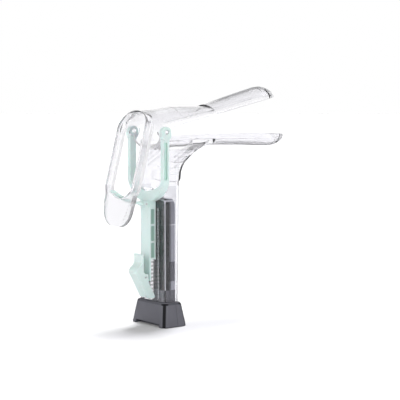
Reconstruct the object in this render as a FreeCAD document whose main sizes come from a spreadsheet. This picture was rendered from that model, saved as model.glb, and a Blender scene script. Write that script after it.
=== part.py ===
"""Bivalve speculum with a cordless illuminator.

Millimetres. +X runs forward along the blades, +Y to the object's left, +Z up.
The origin is the centre of the foot's underside. Cell and sketch names are plain
words, and every size below can be changed by itself.
"""
import FreeCAD, Part
import math
import os

import Sketcher

doc = FreeCAD.newDocument("bivalve_speculum")
sheet = doc.addObject("Spreadsheet::Sheet", "sizes")

SIZES = {
    # foot of the illuminator
    "foot_length": 48.2,
    "foot_depth": 25.4,
    "foot_top_length": 41.4,
    "foot_top_depth": 19.2,
    "foot_height": 20.5,
    "foot_corner": 4.5,
    "foot_edge": 2,
    "sole_edge": 1.2,
    "foot_parting": 2.2,
    "pad_length": 7,
    "pad_height": 3,
    "pad_reach": 6,
    "plate_depth": 10.4,
    "plate_corner": 1.5,
    "plate_thickness": 0.8,
    "shell": 1.8,
    # tower of the illuminator
    "tower_rear": 5.4,
    "tower_front": 5.8,
    "tower_width": 32.4,
    "tower_corner": 2.6,
    "tower_top": 107,
    "tower_parting": 0,
    "cap_joint": 85.7,
    "cap_round": 5,
    # cells, lamp and switch
    "cell_width": 8.3,
    "cell_length": 42.5,
    "cell_gap": 0.2,
    "cell_bottom": 38,
    "cell_nub": 1,
    "contact_leaf": 0.4,
    "contact_post": 4,
    "board_thickness": 1,
    "board_width": 30,
    "emitter_width": 3.6,
    "emitter_height": 1.8,
    "lens_flange": 0.8,
    "switch_width": 6,
    "switch_depth": 4,
    "head_roof": 6,
    "lens_width": 7,
    "button_width": 9,
    "button_height": 10.5,
    "button_skirt": 1,
    "button_travel": 0.8,
    "button_proud": 0.8,
    # clear mouldings
    "wall": 1.6,
    "neck_rim": 4,
    "rim_height": 160,
    "handle_rear": 7.3,
    "handle_front": 9.3,
    "handle_front_low": 7.6,
    "handle_width": 37,
    "handle_corner": 3.5,
    "shoulder_height": 124,
    "trough_rear": 12,
    "trough_width": 38.4,
    "trough_depth": 12,
    "blade_width": 30.4,
    "blade_depth": 10,
    "blade_reach": 118,
    "tip_length": 15,
    "tip_drop": 2.4,
    "neck_reach": 40,
    "neck_root": 120.5,
    "neck_climb": 30.5,
    "neck_edge": 3.5,
    "gusset_rear": 3,
    "gusset_height": 141.5,
    "gusset_length": 16,
    "gusset_climb": 10.4,
    "gusset_width": 1.1,
    "gusset_proud": 0.7,
    "gusset_spacing": 4.2,
    # rail and rack on the handle's rear face
    "rail_width": 9.3,
    "rail_reach": 4.9,
    "rail_waist": 5.6,
    "rail_head": 2.3,
    "rail_bottom": 22,
    "rail_top": 116,
    "rack_top": 62,
    "tooth_pitch": 3.2,
    "tooth_depth": 1.2,
    "rib_spacing": 17.7,
    "rib_width": 1,
    "rib_reach": 1.2,
    "rib_top": 100,
    # yoke
    "pivot_back": 10.4,
    "pivot_height": 163,
    "trunnion_width": 3.9,
    "eye_width": 9,
    "arm_gap": 44,
    "arm_width": 3.8,
    "arm_depth": 6.1,
    "yoke_front": 7.7,
    "bow_inner": 113.6,
    "bow_height": 10.2,
    "bow_outer": 104.5,
    "stem_width": 12.5,
    "stem_wall": 1.3,
    "stem_bottom": 38.2,
    "cheek_bottom": 56,
    "groove_width": 3.6,
    "groove_depth": 1.7,
    "boss_drop": 7.4,
    "boss_proud": 0.5,
    "cheek_window": 14.2,
    "cheek_bar": 1.6,
    "cheek_lip": 1.2,
    # tilt ratchet strap
    "strap_radius": 60.3,
    "strap_thickness": 2,
    "strap_width": 6,
    "strap_root": 5.5,
    "strap_end": 37,
    "strap_plain": 7,
    "strap_tooth": 0.7,
    "strap_pitch": 2.4,
    "pin_width": 1.6,
    "lug_width": 2,
    "lug_radius": 2.1,
    # release trigger
    "trigger_width": 12,
    "trigger_pivot_back": 17.6,
    "trigger_pivot_height": 41.6,
    "trigger_top": 61,
    "trigger_bottom": 23.4,
    "trigger_nose": 27,
    "trigger_nose_height": 46.4,
    "trigger_plate": 1.5,
    "trigger_gap": 6,
    # upper blade, given about its pivot with the blades closed
    "rest_opening": 14,
    "arch_width": 42.6,
    "arch_rise": 19,
    "hood_rise": 6.2,
    "hood_rim": 1.6,
    "blade_step": 61.5,
    "blade_step_rise": 1.2,
    "upper_rise": 8.5,
    "upper_reach": 119,
    "upper_tip": 17,
    "upper_drop": 1.4,
    "lever_lean": 28.8,
    "lever_back": 13.6,
    "lever_width": 45.8,
    "lever_depth": 4.6,
    "strut_width": 7,
    "window_radius": 62,
    "window_bow": 11,
    "bow_depth": 5,
    "lever_bend": 50.7,
    "tab_lean": 24.7,
    "tab_width": 41,
    "tab_length": 82,
    "tab_thickness": 3,
    "ridge_width": 1.2,
    "ridge_proud": 0.7,
    "ridge_spacing": 2.9,
    # how far a cut runs past a face, how deep a rib is rooted, and clearances
    "over": 1,
    "root": 0.5,
    "slide_gap": 0.3,
    "seat_gap": 0.2,
    "pin_gap": 0.05,
    "seam": 0.24,
}

for row, (alias, size) in enumerate(SIZES.items(), 1):
    sheet.set(f"A{row}", alias)
    sheet.set(f"B{row}", str(size))
    sheet.setAlias(f"B{row}", alias)
doc.recompute()


def bound(text):
    """Point each size named in text at its cell."""
    words = []
    word = ""
    for character in str(text) + " ":
        if character.isalnum() or character == "_":
            word += character
            continue
        words.append("sizes." + word if word in SIZES else word)
        words.append(character)
        word = ""
    return "".join(words).strip()


def value(text):
    return float(sheet.evalExpression(bound(text)))


def sub_part(label, x="0", z="0", turn=None):
    """A body with its own label, placed at x and z, turned about the Y axis."""
    body = doc.addObject("PartDesign::Body", label)
    body.Label = label
    if turn:
        body.Placement = FreeCAD.Placement(FreeCAD.Vector(), FreeCAD.Rotation(FreeCAD.Vector(0, -1, 0), 1))
        body.setExpression("Placement.Rotation.Angle", bound(turn))
    body.setExpression("Placement.Base.x", bound(x))
    body.setExpression("Placement.Base.z", bound(z))
    return body


def origin_feature(body, role):
    return next(feature for feature in body.Origin.OriginFeatures if feature.Role == role)


def sketch_on(body, name, role, offset="0"):
    """A sketch on one of the body's planes, moved along the plane's normal."""
    sketch = body.newObject("Sketcher::SketchObject", name)
    sketch.AttachmentSupport = [(origin_feature(body, role), "")]
    sketch.MapMode = "FlatFace"
    sketch.setExpression("AttachmentOffset.Base.z", bound(offset))
    return sketch


def lean_sketch(body, name, lean, back):
    """A sketch on the YZ plane that leans forward at its top and lies back from the origin."""
    sketch = sketch_on(body, name, "YZ_Plane")
    turned = FreeCAD.Rotation(FreeCAD.Vector(1, 0, 0), 1)
    sketch.AttachmentOffset = FreeCAD.Placement(FreeCAD.Vector(), turned)
    sketch.setExpression("AttachmentOffset.Rotation.Angle", bound(lean))
    sketch.setExpression("AttachmentOffset.Base.y", bound(f"({back}) * sin({lean})"))
    sketch.setExpression("AttachmentOffset.Base.z", bound(f"-({back}) * cos({lean})"))
    return sketch


def hold(sketch, kind, where, text):
    index = sketch.addConstraint(Sketcher.Constraint(kind, *where, value(text)))
    sketch.setExpression(f"Constraints[{index}]", bound(text))


def pin_point(sketch, edge, end, x, y):
    """Hold one end of an edge at x and y from the sketch's origin."""
    hold(sketch, "DistanceX", (-1, 1, edge, end), x)
    hold(sketch, "DistanceY", (-1, 1, edge, end), y)


def polygon(sketch, corners):
    """A closed outline with straight sides through corners, each a pair of expressions."""
    points = [FreeCAD.Vector(value(x), value(y), 0) for x, y in corners]
    first = sketch.GeometryCount
    count = len(points)
    for index in range(count):
        sketch.addGeometry(Part.LineSegment(points[index], points[(index + 1) % count]), False)
    for index in range(count):
        following = first + (index + 1) % count
        sketch.addConstraint(Sketcher.Constraint("Coincident", first + index, 2, following, 1))
    for index, (x, y) in enumerate(corners):
        pin_point(sketch, first + index, 1, x, y)


def circle(sketch, x, y, radius):
    centre = FreeCAD.Vector(value(x), value(y), 0)
    ring = sketch.addGeometry(Part.Circle(centre, FreeCAD.Vector(0, 0, 1), value(radius)), False)
    pin_point(sketch, ring, 3, x, y)
    hold(sketch, "Radius", (ring,), radius)


def rounded_box(sketch, left, right, low, high, radius):
    """A rectangle with four equal round corners."""
    x0, x1, y0, y1, r = (value(text) for text in (left, right, low, high, radius))
    first = sketch.GeometryCount
    half_pi = math.pi / 2
    sides = [((x0 + r, y0), (x1 - r, y0)), ((x1, y0 + r), (x1, y1 - r)),
             ((x1 - r, y1), (x0 + r, y1)), ((x0, y1 - r), (x0, y0 + r))]
    centres = [(x1 - r, y0 + r), (x1 - r, y1 - r), (x0 + r, y1 - r), (x0 + r, y0 + r)]
    for index in range(4):
        start, end = sides[index]
        sketch.addGeometry(Part.LineSegment(FreeCAD.Vector(*start, 0), FreeCAD.Vector(*end, 0)), False)
        ring = Part.Circle(FreeCAD.Vector(*centres[index], 0), FreeCAD.Vector(0, 0, 1), r)
        sketch.addGeometry(Part.ArcOfCircle(ring, (index - 1) * half_pi, index * half_pi), False)
    for index in range(4):
        side, arc = first + 2 * index, first + 2 * index + 1
        sketch.addConstraint(Sketcher.Constraint("Tangent", side, 2, arc, 1))
        sketch.addConstraint(Sketcher.Constraint("Tangent", arc, 2, first + (2 * index + 2) % 8, 1))
        hold(sketch, "Radius", (arc,), radius)
    hold(sketch, "DistanceY", (-1, 1, first, 1), low)
    hold(sketch, "DistanceX", (-1, 1, first + 2, 1), right)
    hold(sketch, "DistanceY", (-1, 1, first + 4, 1), high)
    hold(sketch, "DistanceX", (-1, 1, first + 6, 1), left)


def arch(sketch, half, rise, leg, side, rim, up):
    """A basket arch: straight legs up from the rim, side arcs and a flatter crown arc.

    half is the half width, rise the height from rim to crown and side the side arcs'
    radius. An arch with up at -1 hangs below its rim.
    """
    curve = f"(({rise}) - ({leg}))"
    crown = f"((({half})^2 + {curve}^2 - 2 * ({half}) * ({side})) / (2 * ({curve} - ({side}))))"
    a, b, straight, r, base, c = (value(text) for text in (half, curve, leg, side, rim, crown))
    lean = math.atan2(c - b, a - r)
    normal = FreeCAD.Vector(0, 0, 1)

    def arc(x, y, radius, start, end):
        if up < 0:
            y, start, end = -y, -end, -start
        centre = FreeCAD.Vector(x, base + y, 0)
        return Part.ArcOfCircle(Part.Circle(centre, normal, radius), start, end)

    right = arc(a - r, straight, r, 0, lean)
    middle = arc(0, straight + b - c, c, lean, math.pi - lean)
    left = arc(r - a, straight, r, math.pi - lean, math.pi)
    foot, spring = base, base + up * straight
    first = sketch.GeometryCount
    sketch.addGeometry(Part.LineSegment(FreeCAD.Vector(up * a, foot, 0),
                                        FreeCAD.Vector(up * a, spring, 0)), False)
    for piece in ([right, middle, left] if up > 0 else [left, middle, right]):
        sketch.addGeometry(piece, False)
    sketch.addGeometry(Part.LineSegment(FreeCAD.Vector(-up * a, spring, 0),
                                        FreeCAD.Vector(-up * a, foot, 0)), False)
    sketch.addGeometry(Part.LineSegment(FreeCAD.Vector(-up * a, foot, 0), FreeCAD.Vector(up * a, foot, 0)),
                       False)
    for index in range(4):
        sketch.addConstraint(Sketcher.Constraint("Tangent", first + index, 2, first + index + 1, 1))
    sketch.addConstraint(Sketcher.Constraint("Coincident", first + 4, 2, first + 5, 1))
    sketch.addConstraint(Sketcher.Constraint("Coincident", first + 5, 2, first, 1))
    pin_point(sketch, first, 1, f"{up} * ({half})", rim)
    pin_point(sketch, first + 5, 1, f"-{up} * ({half})".replace("--", ""), rim)
    hold(sketch, "DistanceX", (-1, 1, first, 2), f"{up} * ({half})")
    hold(sketch, "DistanceY", (-1, 1, first, 2), f"({rim}) + {up} * ({leg})")
    hold(sketch, "DistanceY", (-1, 1, first + 4, 1), f"({rim}) + {up} * ({leg})")
    hold(sketch, "Radius", (first + 1,), side)
    hold(sketch, "Radius", (first + 3,), side)


def pad(body, name, sketch, length, both_ways=False, back=False):
    feature = body.newObject("PartDesign::Pad", name)
    feature.Profile = sketch
    feature.setExpression("Length", bound(length))
    feature.Midplane = both_ways
    feature.Reversed = back
    return feature


def pocket(body, name, sketch, length, both_ways=False, back=False):
    feature = body.newObject("PartDesign::Pocket", name)
    feature.Profile = sketch
    feature.setExpression("Length", bound(length))
    feature.Midplane = both_ways
    feature.Reversed = back
    return feature


def loft(body, kind, name, sketches):
    feature = body.newObject("PartDesign::" + kind, name)
    feature.Profile = sketches[0]
    feature.Sections = [(sketch, [""]) for sketch in sketches[1:]]
    feature.Ruled = True
    return feature


def hull(body, name, stations, up, offset="0"):
    """Arch sketches across the blade, one per station, drawn in by offset."""
    sketches = []
    for index, (x, half, rise, rim) in enumerate(stations):
        inner_rise = f"({rise}) - ({offset})"
        sketch = sketch_on(body, f"{name}_{index}", "YZ_Plane", x)
        leg = f"0.1 * ({rise})"
        arch(sketch, f"({half}) - ({offset})", inner_rise, leg, f"0.52 * ({rise}) - ({offset})", rim, up)
        sketches.append(sketch)
    return sketches


def tip_stations(start, half, rise, rim, length, drop, shares):
    """Stations that close a blade's end like a spoon."""
    stations = []
    for share in shares:
        shrink = math.sqrt(1 - share * share)
        stations.append((f"({start}) + {share} * ({length})", f"{shrink:.4f} * ({half})",
                         f"{shrink:.4f} * ({rise})", f"({rim}) - {share ** 2:.4f} * ({drop})"))
    return stations


TIP_SHARES = (0, 0.3, 0.5, 0.68, 0.82, 0.92, 0.98)
HOLLOW_SHARES = (0, 0.3, 0.5, 0.68, 0.8)
# the neck's underside outside and inside: share of its reach forward, share of its climb
NECK_CURVE = ((0.005, 0), (0.02, 0.18), (0.07, 0.34), (0.15, 0.49), (0.27, 0.62), (0.4, 0.74), (0.54, 0.84),
              (0.7, 0.92), (0.88, 0.98), (1, 1))
NECK_HOLLOW = ((-0.04, 0), (-0.02, 0.2), (0.04, 0.39), (0.13, 0.55), (0.27, 0.69), (0.38, 0.79),
               (0.47, 0.85))
FRONT = "handle_front"


def lower_blade():
    body = sub_part("lower_blade")
    trough = [
        ("-trough_rear", "trough_width / 2", "trough_depth", "rim_height"),
        ("0.42 * trough_rear", "trough_width / 2", "trough_depth", "rim_height"),
        (f"{FRONT} + 0.28 * neck_reach", "0.48 * trough_width", "0.9 * trough_depth + 0.1 * blade_depth",
         "rim_height"),
        (f"{FRONT} + 0.56 * neck_reach", "0.225 * trough_width + 0.275 * blade_width",
         "0.4 * trough_depth + 0.6 * blade_depth", "rim_height"),
        (f"{FRONT} + 0.85 * neck_reach", "0.51 * blade_width", "0.98 * blade_depth", "rim_height"),
        (f"{FRONT} + 1.2 * neck_reach", "blade_width / 2", "0.96 * blade_depth", "rim_height"),
        ("0.74 * blade_reach", "blade_width / 2", "1.04 * blade_depth", "rim_height"),
        ("blade_reach", "blade_width / 2", "1.1 * blade_depth", "rim_height - tip_drop / 3"),
    ]
    tip = tip_stations("blade_reach", "blade_width / 2", "1.1 * blade_depth", "rim_height - tip_drop / 3",
                       "tip_length", "tip_drop * 2 / 3", TIP_SHARES)
    handle = []
    for name, z, front in (("foot", "foot_height", "handle_front_low"),
                           ("shoulder", "shoulder_height", FRONT),
                           ("top", "rim_height - 1.25 * neck_rim", FRONT)):
        sketch = sketch_on(body, f"handle_{name}", "XY_Plane", z)
        rounded_box(sketch, "-handle_rear", front, "-handle_width / 2", "handle_width / 2", "handle_corner")
        handle.append(sketch)
    loft(body, "AdditiveLoft", "handle_block", handle)
    loft(body, "AdditiveLoft", "trough_outside", hull(body, "trough_section", trough, -1))
    neck_sketches = []
    for index, (share, climb) in enumerate(((-0.06, -0.1),) + NECK_CURVE):
        half = f"(1 - {share}) * 0.495 * handle_width + {share} * 0.49 * blade_width"
        rise = f"(rim_height - neck_rim - neck_root - {climb} * neck_climb)"
        sketch = sketch_on(body, f"neck_section_{index}", "YZ_Plane", f"{FRONT} + {share} * neck_reach")
        arch(sketch, half, rise, f"{rise} - 1.3 * neck_edge", "neck_edge", "rim_height - neck_rim", -1)
        neck_sketches.append(sketch)
    loft(body, "AdditiveLoft", "neck_outside", neck_sketches)
    loft(body, "AdditiveLoft", "tip_outside", hull(body, "tip_section", tip, -1))
    # the rail is a T in plan, and its rear face carries the rack
    rail = sketch_on(body, "rail_plan", "XY_Plane", "rail_bottom")
    rear = "-handle_rear - rail_reach"
    polygon(rail, [("-handle_rear + root", "-rail_waist / 2"), (f"{rear} + rail_head", "-rail_waist / 2"),
                   (f"{rear} + rail_head", "-rail_width / 2"), (rear, "-rail_width / 2"),
                   (rear, "rail_width / 2"), (f"{rear} + rail_head", "rail_width / 2"),
                   (f"{rear} + rail_head", "rail_waist / 2"), ("-handle_rear + root", "rail_waist / 2")])
    pad(body, "rail", rail, "rail_top - rail_bottom")
    for side in (-1, 1):
        rib = sketch_on(body, f"guide_rib_plan_{side + 1}", "XY_Plane", "foot_height")
        centre = f"{side} * rib_spacing / 2"
        polygon(rib, [("-handle_rear - rib_reach", f"{centre} - rib_width / 2"),
                      ("-handle_rear + root", f"{centre} - rib_width / 2"),
                      ("-handle_rear + root", f"{centre} + rib_width / 2"),
                      ("-handle_rear - rib_reach", f"{centre} + rib_width / 2")])
        pad(body, f"guide_rib_{side + 1}", rib, "rib_top - foot_height")
    # slanting gussets on both flanks of the neck
    for side in (-1, 1):
        for row in range(3):
            gusset = sketch_on(body, f"gusset_{side + 1}_{row}", "XZ_Plane",
                               f"{-side} * (handle_width / 2 - wall)")
            low = f"(gusset_height - {row} * gusset_spacing)"
            end = f"(gusset_rear + (1 - 0.1 * {row}) * gusset_length)"
            high = f"({low} + (1 - 0.1 * {row}) * gusset_climb)"
            polygon(gusset, [("gusset_rear", low), (end, high), (end, f"{high} + gusset_width"),
                             ("gusset_rear", f"{low} + gusset_width")])
            pad(body, f"gusset_{side + 1}_{row}_rib", gusset, "wall + gusset_proud", back=side > 0)
    # hollows: the trough above, the handle and the neck from below
    first = ("-trough_rear - over",) + trough[0][1:]
    loft(body, "SubtractiveLoft", "trough_inside",
         hull(body, "trough_hollow", [first] + trough[1:], -1, "wall"))
    hollow_tip = tip_stations("blade_reach", "blade_width / 2", "1.1 * blade_depth",
                              "rim_height - tip_drop / 3",
                              "tip_length - wall", "tip_drop * 2 / 3", HOLLOW_SHARES)
    loft(body, "SubtractiveLoft", "tip_inside", hull(body, "tip_hollow", hollow_tip, -1, "wall"))
    floor = "rim_height - trough_depth"
    hollow = []
    for name, z, front in (("foot", "foot_height - over", "handle_front_low"),
                           ("shoulder", "shoulder_height", FRONT),
                           ("top", floor, FRONT)):
        sketch = sketch_on(body, f"handle_hollow_{name}", "XY_Plane", z)
        rounded_box(sketch, "-handle_rear + wall", f"{front} - wall", "-handle_width / 2 + wall",
                    "handle_width / 2 - wall", "handle_corner - wall")
        hollow.append(sketch)
    loft(body, "SubtractiveLoft", "handle_hollow", hollow)
    inside = []
    for index, (share, climb) in enumerate(((-0.12, -0.1),) + NECK_HOLLOW):
        half = f"(1 - {share}) * 0.495 * handle_width + {share} * 0.49 * blade_width - wall"
        depth = f"({floor} - neck_root - {climb} * neck_climb)"
        curve = f"min(neck_edge; 0.7 * {depth})"
        sketch = sketch_on(body, f"neck_hollow_{index}", "YZ_Plane", f"{FRONT} + {share} * neck_reach")
        arch(sketch, half, depth, f"{depth} - {curve}", f"0.8 * {curve}", floor, -1)
        inside.append(sketch)
    loft(body, "SubtractiveLoft", "neck_inside", inside)
    notch = sketch_on(body, "rack_notch", "XZ_Plane")
    polygon(notch, [(f"{rear} - over", "rail_bottom + tooth_pitch"), (f"{rear} - over", "rail_bottom"),
                    (rear, "rail_bottom"), (f"{rear} + tooth_depth", "rail_bottom + 0.2 * tooth_pitch"),
                    (rear, "rail_bottom + tooth_pitch")])
    cut = pocket(body, "rack_tooth", notch, "rail_width + over", both_ways=True)
    doc.recompute()
    rack = body.newObject("PartDesign::LinearPattern", "rack")
    rack.Originals = [cut]
    rack.Direction = (origin_feature(body, "Z_Axis"), [""])
    rack.Mode = "Spacing"
    rack.setExpression("Offset", bound("tooth_pitch"))
    rack.setExpression("Occurrences", bound("floor((rack_top - rail_bottom) / tooth_pitch)"))
    body.Tip = rack
    return body


def upper_blade():
    body = sub_part("upper_blade", "-pivot_back", "pivot_height", turn="rest_opening")
    closed_rim = "rim_height - pivot_height + slide_gap"
    hood = [
        ("-1.15 * lever_back", "arch_width / 2", "arch_rise - hood_rim", "hood_rim"),
        ("-0.37 * lever_back", "arch_width / 2", "arch_rise - hood_rim", "hood_rim"),
        ("0.1 * blade_step", "0.495 * arch_width", "0.9 * arch_rise - 0.75 * hood_rim", "0.75 * hood_rim"),
        ("0.245 * blade_step", "0.46 * arch_width", "0.84 * arch_rise - 0.62 * hood_rim",
         "0.62 * hood_rim"),
        ("0.41 * blade_step", "0.25 * arch_width + 0.25 * blade_width",
         "0.79 * arch_rise - 0.37 * hood_rim",
         "0.37 * hood_rim"),
        ("0.55 * blade_step", "0.1 * arch_width + 0.4 * blade_width", "0.69 * arch_rise", "0"),
        ("0.78 * blade_step", "0.503 * blade_width", "hood_rise + 2.4 * hood_rim", "-0.45 * hood_rim"),
        ("blade_step", "blade_width / 2", "hood_rise + 0.75 * hood_rim", "-0.75 * hood_rim"),
    ]
    rise = f"upper_rise - ({closed_rim})"
    front = [
        ("blade_step", "blade_width / 2", "hood_rise + blade_step_rise + 0.75 * hood_rim",
         "-0.75 * hood_rim"),
        ("1.49 * blade_step", "blade_width / 2", f"0.91 * ({rise})", f"0.74 * ({closed_rim})"),
        ("upper_reach", "blade_width / 2", rise, closed_rim),
    ]
    tip = tip_stations("upper_reach", "blade_width / 2", rise, closed_rim, "upper_tip", "upper_drop",
                       TIP_SHARES)
    loft(body, "AdditiveLoft", "hood_outside", hull(body, "hood_section", hood, 1))
    loft(body, "AdditiveLoft", "blade_outside", hull(body, "blade_section", front, 1))
    loft(body, "AdditiveLoft", "tip_outside", hull(body, "tip_section", tip, 1))
    first = ("-1.15 * lever_back - over",) + hood[0][1:]
    loft(body, "SubtractiveLoft", "hood_inside", hull(body, "hood_hollow", [first] + hood[1:], 1, "wall"))
    loft(body, "SubtractiveLoft", "blade_inside", hull(body, "blade_hollow", front, 1, "wall"))
    hollow_tip = tip_stations("upper_reach", "blade_width / 2", rise, closed_rim, "upper_tip - wall",
                              "upper_drop", HOLLOW_SHARES)
    loft(body, "SubtractiveLoft", "tip_inside", hull(body, "tip_hollow", hollow_tip, 1, "wall"))
    # the hood ends in the lever's leaning plane
    back = "(lever_back + lever_depth / 2)"
    slope = sketch_on(body, "hood_end", "XZ_Plane")
    above, below, behind = "(2 * arch_rise)", "(0.5 * arch_rise)", "(-5 * lever_back)"
    polygon(slope, [(f"-{back} / cos(lever_lean) + {above} * tan(lever_lean)", above), (behind, above),
                    (behind, f"-{below}"),
                    (f"-{back} / cos(lever_lean) - {below} * tan(lever_lean)", f"-{below}")])
    pocket(body, "hood_trim", slope, "2 * arch_width", both_ways=True)
    # lever frame: an arch above, two struts and a bow below
    crown = "(arch_rise * cos(lever_lean) - 1.5 * hood_rim)"
    frame = lean_sketch(body, "lever_outline", "lever_lean", back)
    arch(frame, "lever_width / 2", f"{crown} + lever_bend", "0.96 * lever_bend", "0.22 * lever_width",
         "-lever_bend", 1)
    pad(body, "lever_frame", frame, "lever_depth")
    sill = "sqrt(window_radius^2 - lever_back^2)"
    bow = lean_sketch(body, "bow_outline", "lever_lean", back)
    bow_side = [("lever_width / 2", "-lever_bend + over"), ("lever_width / 2", "-lever_bend"),
                ("0.49 * tab_width", "-1.12 * lever_bend"), ("0.475 * tab_width", f"-{sill} - bow_depth")]
    polygon(bow, [(f"-({x})", z) for x, z in bow_side] + bow_side[::-1])
    pad(body, "lever_bow", bow, "lever_depth")
    inner = "(lever_width / 2 - strut_width)"
    window = lean_sketch(body, "window_outline", "lever_lean", f"{back} + lever_depth")
    arch(window, inner, f"{sill} + lever_depth", f"{sill} + lever_depth - window_bow", "0.62 * window_bow",
         "lever_depth", -1)
    pocket(body, "window", window, "3 * lever_depth", back=True)
    upper = lean_sketch(body, "arch_opening", "lever_lean", f"{back} + lever_depth")
    arch(upper, inner, f"{crown} - 1.25 * hood_rim", "0.2 * arch_rise", "0.42 * arch_rise", "0", 1)
    pocket(body, "arch_window", upper, "3 * lever_depth", back=True)
    # thumb tab, flush with the frame's rear face where the lever bends
    kink = "(lever_lean - tab_lean)"
    tab_back = f"((lever_back + lever_depth / 2) * cos({kink}) + lever_bend * sin({kink}))"
    tab = lean_sketch(body, "tab_outline", "tab_lean", tab_back)
    tab_corners = [("0.485", "0.76"), ("0.485", "0.81"), ("0.455", "0.88"), ("0.41", "0.925"),
                   ("0.33", "0.965"),
                   ("0.24", "0.99"), ("0.16", "1")]
    left = [(f"-{across} * tab_width", f"-{down} * tab_length") for across, down in tab_corners]
    right = [(f"{across} * tab_width", f"-{down} * tab_length") for across, down in reversed(tab_corners)]
    polygon(tab, left + right)
    pad(body, "thumb_tab", tab, "tab_thickness")
    # grip ridges across the tab's rear face
    for row in range(5):
        ridge = lean_sketch(body, f"ridge_{row}", "tab_lean", tab_back)
        low = f"(-0.79 * tab_length - {row} * ridge_spacing)"
        reach = f"((0.4 - 0.025 * {row}) * tab_width)"
        rounded_box(ridge, f"-{reach}", reach, low, f"{low} + ridge_width", "0.4 * ridge_width")
        pad(body, f"ridge_{row}_rib", ridge, "ridge_proud", back=True)
    for side in (-1, 1):
        face = f"{-side} * arch_width / 2"
        ear = sketch_on(body, f"ear_outline_{side + 1}", "XZ_Plane", face)
        arch(ear, "0.56 * eye_width", "0.83 * eye_width", "0.38 * eye_width", "0.33 * eye_width",
             "0.33 * eye_width", -1)
        pad(body, f"ear_{side + 1}", ear, "wall", back=side < 0)
        trunnion = sketch_on(body, f"trunnion_end_{side + 1}", "XZ_Plane", face)
        circle(trunnion, "0", "0", "trunnion_width / 2")
        pad(body, f"trunnion_{side + 1}", trunnion, "arm_gap / 2 + arm_width - arch_width / 2",
            back=side > 0)
    return body


STEM_REAR = "(handle_rear + rail_reach + slide_gap + stem_wall)"
ROOT_X = "(-pivot_back - strap_radius * sin(strap_root))"
ROOT_Z = "(pivot_height - strap_radius * cos(strap_root))"


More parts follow.
